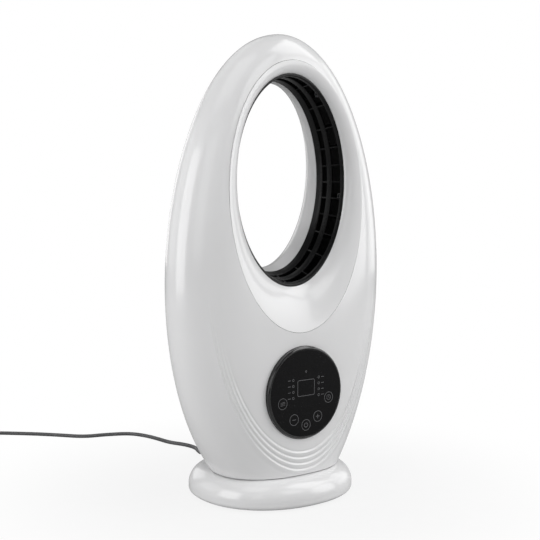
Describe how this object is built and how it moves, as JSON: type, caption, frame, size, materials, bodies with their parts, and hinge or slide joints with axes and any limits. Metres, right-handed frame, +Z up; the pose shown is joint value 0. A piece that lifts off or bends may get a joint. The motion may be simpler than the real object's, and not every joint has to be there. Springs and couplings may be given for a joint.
{
  "type": "bladeless fan",
  "caption": "Tall egg-shaped bladeless fan with an oval air opening, a round touch panel and a low round base that it swings on.",
  "frame": {"origin": "centre of the base's underside, on the floor, which is also the swing axis", "axes": "+Z up, the front with the control panel faces -Y, +X to the right seen from the front"},
  "size_m": [0.467, 0.6601, 0.6096],
  "materials": {
    "white_gloss": "moulded white, high gloss",
    "white_base": "moulded white, high gloss",
    "black_satin": "moulded black, satin",
    "black_gloss": "piano black rim",
    "lens_gloss": "printed smoked lens",
    "lens_marks": "grey print on the lens",
    "grey_plastic": "filled grey plastic",
    "natural_plastic": "slippery off-white plastic",
    "rubber_black": "soft black rubber",
    "rubber_grey": "soft grey rubber",
    "cord_grey": "dark grey flexible sheath",
    "steel_zinc": "zinc plated",
    "steel_plain": "dark coated steel",
    "steel_bright": "ground steel",
    "pin_metal": "nickel plated brass",
    "board_green": "solder-masked board",
    "parts_dark": "component bodies",
    "spring_metal": "springy brass",
    "clear_guide": "milky clear acrylic"
  },
  "bodies": {
    "base": {"base_shell": "white_base", "base_bottom_plate": "grey_plastic", "rubber_feet": "rubber_grey", "base_screws": "steel_zinc", "ballast_plates": "steel_plain", "swivel_bush": "natural_plastic", "slide_ring": "natural_plastic", "swing_motor": "steel_zinc", "swing_motor_screws": "steel_zinc", "power_board": "board_green", "power_parts": "parts_dark", "strain_relief": "cord_grey", "power_cord": "cord_grey", "cord_coil": "cord_grey", "cord_tie": "rubber_black", "plug_body": "cord_grey", "plug_pins": "pin_metal"},
    "drive_pinion": {"swing_pinion": "natural_plastic", "swing_motor_shaft": "steel_bright"},
    "tower": {"front_shell": "white_gloss", "rear_shell": "white_gloss", "intake_grille": "white_gloss", "scoop_ring": "white_gloss", "outlet_grille": "black_satin", "rear_duct": "white_gloss", "shell_screws": "steel_zinc", "swivel_plate": "grey_plastic", "swing_gear": "natural_plastic", "hub_screws": "steel_zinc", "duct_partition": "grey_plastic", "rubber_dampers": "rubber_black", "fan_housing": "black_satin", "diffuser": "grey_plastic", "tail_cone": "grey_plastic", "motor_can": "steel_zinc", "motor_stator": "steel_plain", "motor_bearings": "steel_bright", "panel_bezel": "black_gloss", "control_lens": "lens_gloss", "control_board": "board_green", "board_screws": "steel_zinc", "display_module": "parts_dark", "touch_springs": "spring_metal", "light_guides": "clear_guide", "ir_receiver": "parts_dark", "buzzer": "parts_dark"},
    "fan_rotor": {"impeller": "grey_plastic", "impeller_nut": "steel_zinc", "motor_rotor": "steel_bright"}
  },
  "joints": [
    {"name": "tower_swing", "type": "hinge", "parent": "base", "child": "tower", "pos_m": [0, 0, 0.037], "axis": [0, 0, 1], "range_deg": [-40, 40]},
    {"name": "pinion_spin", "type": "hinge", "parent": "base", "child": "drive_pinion", "pos_m": [0, 0.048, 0.028], "axis": [0, 0, 1], "range_deg": [-200.5, 200.5]},
    {"name": "fan_spin", "type": "hinge", "parent": "tower", "child": "fan_rotor", "pos_m": [0, -0.004, 0.1], "axis": [0, 0, 1], "continuous": true}
  ],
  "couplings": [
    {"joint": "pinion_spin", "follows": "tower_swing", "ratio": -5}
  ]
}
